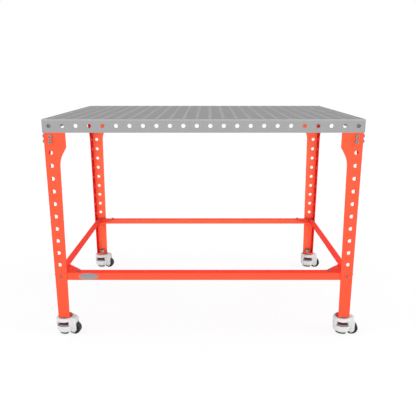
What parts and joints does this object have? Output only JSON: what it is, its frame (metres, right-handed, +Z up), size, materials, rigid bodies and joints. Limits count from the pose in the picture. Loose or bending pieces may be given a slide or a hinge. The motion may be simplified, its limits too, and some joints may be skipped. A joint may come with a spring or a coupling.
{
  "type": "welding table",
  "caption": "Perforated steel welding table on four bent sheet legs with a bolted lower frame and swivelling levelling casters.",
  "frame": {"origin": "middle of the work surface", "axes": "+X along the table's length to the right, +Y from the front to the rear, +Z up"},
  "size_m": [1.2724, 0.839, 0.898],
  "materials": {
    "bare_steel": "ground and brushed",
    "orange_paint": "gloss powder coat",
    "zinc": "zinc plated",
    "dark_steel": "dark plated",
    "white_casting": "white powder coat on a die casting",
    "black_nylon": "moulded nylon",
    "red_plastic": "moulded",
    "black_rubber": "moulded"
  },
  "bodies": {
    "table": {"top_plate": "bare_steel", "skirt_front": "bare_steel", "skirt_rear": "bare_steel", "skirt_left": "bare_steel", "skirt_right": "bare_steel", "rib_front": "bare_steel", "rib_rear": "bare_steel", "stringer_front": "orange_paint", "stringer_rear": "orange_paint", "stringer_left": "orange_paint", "stringer_right": "orange_paint", "corner_bracket_front_left": "bare_steel", "leg_front_left": "orange_paint", "foot_plate_front_left": "orange_paint", "gusset_front_left": "orange_paint", "corner_bracket_front_right": "bare_steel", "leg_front_right": "orange_paint", "foot_plate_front_right": "orange_paint", "gusset_front_right": "orange_paint", "corner_bracket_rear_left": "bare_steel", "leg_rear_left": "orange_paint", "foot_plate_rear_left": "orange_paint", "gusset_rear_left": "orange_paint", "corner_bracket_rear_right": "bare_steel", "leg_rear_right": "orange_paint", "foot_plate_rear_right": "orange_paint", "gusset_rear_right": "orange_paint", "leg_bolts": "zinc", "leg_nuts": "zinc", "frame_bolts": "zinc", "frame_nuts": "zinc", "stem_nuts": "zinc", "caster_front_left_stem": "dark_steel", "caster_front_right_stem": "dark_steel", "caster_rear_left_stem": "dark_steel", "caster_rear_right_stem": "dark_steel"},
    "front_left_caster": {"caster_front_left_housing": "white_casting", "caster_front_left_axle": "zinc"},
    "front_left_wheel": {"caster_front_left_wheel": "black_nylon"},
    "front_left_thumbwheel": {"caster_front_left_thumbwheel": "red_plastic"},
    "front_left_foot": {"caster_front_left_foot": "dark_steel", "caster_front_left_pad": "black_rubber"},
    "front_right_caster": {"caster_front_right_housing": "white_casting", "caster_front_right_axle": "zinc"},
    "front_right_wheel": {"caster_front_right_wheel": "black_nylon"},
    "front_right_thumbwheel": {"caster_front_right_thumbwheel": "red_plastic"},
    "front_right_foot": {"caster_front_right_foot": "dark_steel", "caster_front_right_pad": "black_rubber"},
    "rear_left_caster": {"caster_rear_left_housing": "white_casting", "caster_rear_left_axle": "zinc"},
    "rear_left_wheel": {"caster_rear_left_wheel": "black_nylon"},
    "rear_left_thumbwheel": {"caster_rear_left_thumbwheel": "red_plastic"},
    "rear_left_foot": {"caster_rear_left_foot": "dark_steel", "caster_rear_left_pad": "black_rubber"},
    "rear_right_caster": {"caster_rear_right_housing": "white_casting", "caster_rear_right_axle": "zinc"},
    "rear_right_wheel": {"caster_rear_right_wheel": "black_nylon"},
    "rear_right_thumbwheel": {"caster_rear_right_thumbwheel": "red_plastic"},
    "rear_right_foot": {"caster_rear_right_foot": "dark_steel", "caster_rear_right_pad": "black_rubber"}
  },
  "joints": [
    {"name": "front_left_swivel", "type": "hinge", "parent": "table", "child": "front_left_caster", "pos_m": [-0.5842, -0.381, -0.818], "axis": [0, 0, 1], "continuous": true},
    {"name": "front_left_roll", "type": "hinge", "parent": "front_left_caster", "child": "front_left_wheel", "pos_m": [-0.54529, -0.38716, -0.8725], "axis": [0.1564, 0.9877, 0], "continuous": true},
    {"name": "front_left_level", "type": "hinge", "parent": "front_left_caster", "child": "front_left_thumbwheel", "pos_m": [-0.5842, -0.381, -0.84275], "axis": [0, 0, 1], "range_deg": [0, 1440]},
    {"name": "front_left_foot_travel", "type": "slide", "parent": "front_left_caster", "child": "front_left_foot", "axis": [0, 0, -1], "range_m": [0, 0.0121]},
    {"name": "front_right_swivel", "type": "hinge", "parent": "table", "child": "front_right_caster", "pos_m": [0.5842, -0.381, -0.818], "axis": [0, 0, 1], "continuous": true},
    {"name": "front_right_roll", "type": "hinge", "parent": "front_right_caster", "child": "front_right_wheel", "pos_m": [0.62311, -0.38716, -0.8725], "axis": [0.1564, 0.9877, 0], "continuous": true},
    {"name": "front_right_level", "type": "hinge", "parent": "front_right_caster", "child": "front_right_thumbwheel", "pos_m": [0.5842, -0.381, -0.84275], "axis": [0, 0, 1], "range_deg": [0, 1440]},
    {"name": "front_right_foot_travel", "type": "slide", "parent": "front_right_caster", "child": "front_right_foot", "axis": [0, 0, -1], "range_m": [0, 0.0121]},
    {"name": "rear_left_swivel", "type": "hinge", "parent": "table", "child": "rear_left_caster", "pos_m": [-0.5842, 0.381, -0.818], "axis": [0, 0, 1], "continuous": true},
    {"name": "rear_left_roll", "type": "hinge", "parent": "rear_left_caster", "child": "rear_left_wheel", "pos_m": [-0.54529, 0.37484, -0.8725], "axis": [0.1564, 0.9877, 0], "continuous": true},
    {"name": "rear_left_level", "type": "hinge", "parent": "rear_left_caster", "child": "rear_left_thumbwheel", "pos_m": [-0.5842, 0.381, -0.84275], "axis": [0, 0, 1], "range_deg": [0, 1440]},
    {"name": "rear_left_foot_travel", "type": "slide", "parent": "rear_left_caster", "child": "rear_left_foot", "axis": [0, 0, -1], "range_m": [0, 0.0121]},
    {"name": "rear_right_swivel", "type": "hinge", "parent": "table", "child": "rear_right_caster", "pos_m": [0.5842, 0.381, -0.818], "axis": [0, 0, 1], "continuous": true},
    {"name": "rear_right_roll", "type": "hinge", "parent": "rear_right_caster", "child": "rear_right_wheel", "pos_m": [0.62311, 0.37484, -0.8725], "axis": [0.1564, 0.9877, 0], "continuous": true},
    {"name": "rear_right_level", "type": "hinge", "parent": "rear_right_caster", "child": "rear_right_thumbwheel", "pos_m": [0.5842, 0.381, -0.84275], "axis": [0, 0, 1], "range_deg": [0, 1440]},
    {"name": "rear_right_foot_travel", "type": "slide", "parent": "rear_right_caster", "child": "rear_right_foot", "axis": [0, 0, -1], "range_m": [0, 0.0121]}
  ],
  "couplings": [
    {"joint": "front_left_foot_travel", "follows": "front_left_level", "m_per_rad": 0.00047746},
    {"joint": "front_right_foot_travel", "follows": "front_right_level", "m_per_rad": 0.00047746},
    {"joint": "rear_left_foot_travel", "follows": "rear_left_level", "m_per_rad": 0.00047746},
    {"joint": "rear_right_foot_travel", "follows": "rear_right_level", "m_per_rad": 0.00047746}
  ]
}
